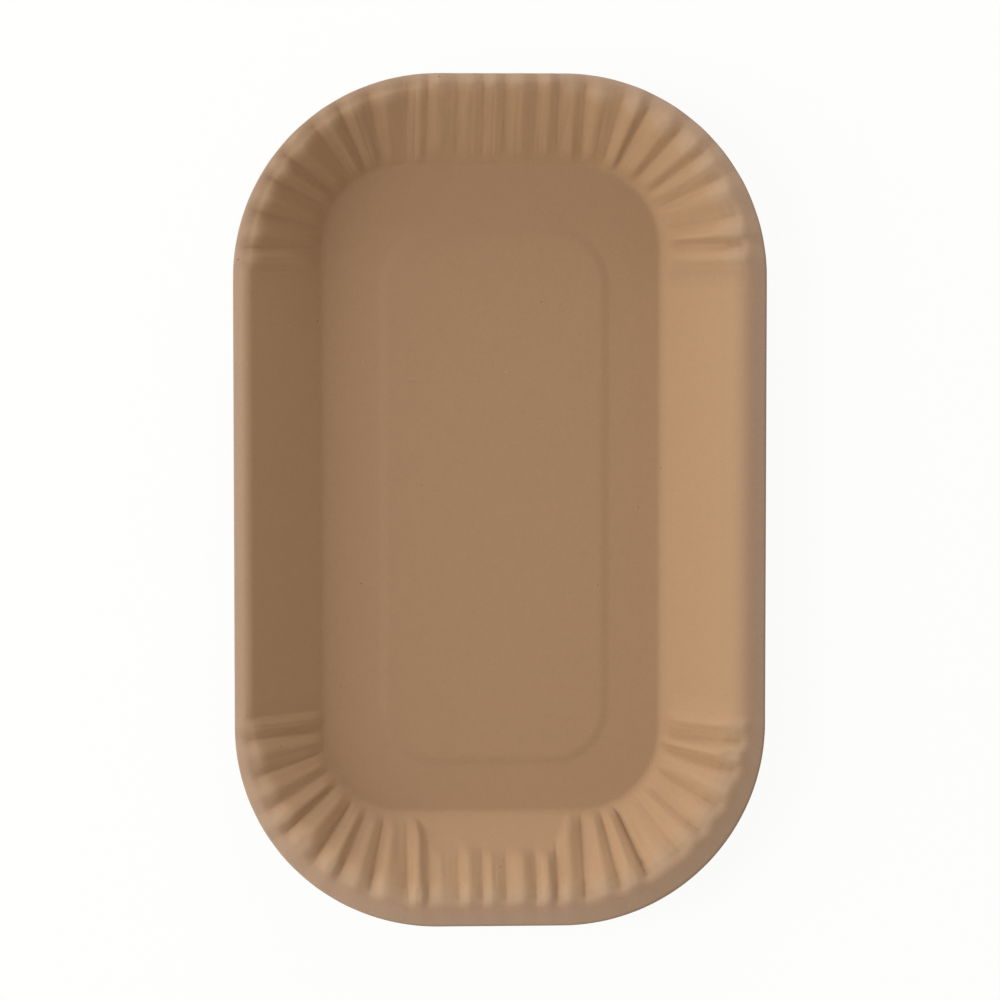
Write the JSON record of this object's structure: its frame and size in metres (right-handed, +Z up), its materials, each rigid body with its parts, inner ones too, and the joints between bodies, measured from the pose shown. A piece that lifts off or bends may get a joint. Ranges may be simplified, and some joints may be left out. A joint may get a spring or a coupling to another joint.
{
  "type": "paper food tray",
  "caption": "Shallow oblong tray pressed from one sheet of brown board, with a flat floor, walls fluted at corners and ends, and a turned-over lip, for holding food.",
  "frame": {"origin": "on the table under the tray, below the middle of the cut edge", "axes": "+Y along the tray, +X across it, +Z up from the table"},
  "size_m": [0.131, 0.21, 0.0175],
  "materials": {
    "kraft_board": "matt unbleached board, a little paler where it turns over the lip"
  },
  "bodies": {
    "root": {"tray": "kraft_board"}
  },
  "joints": []
}
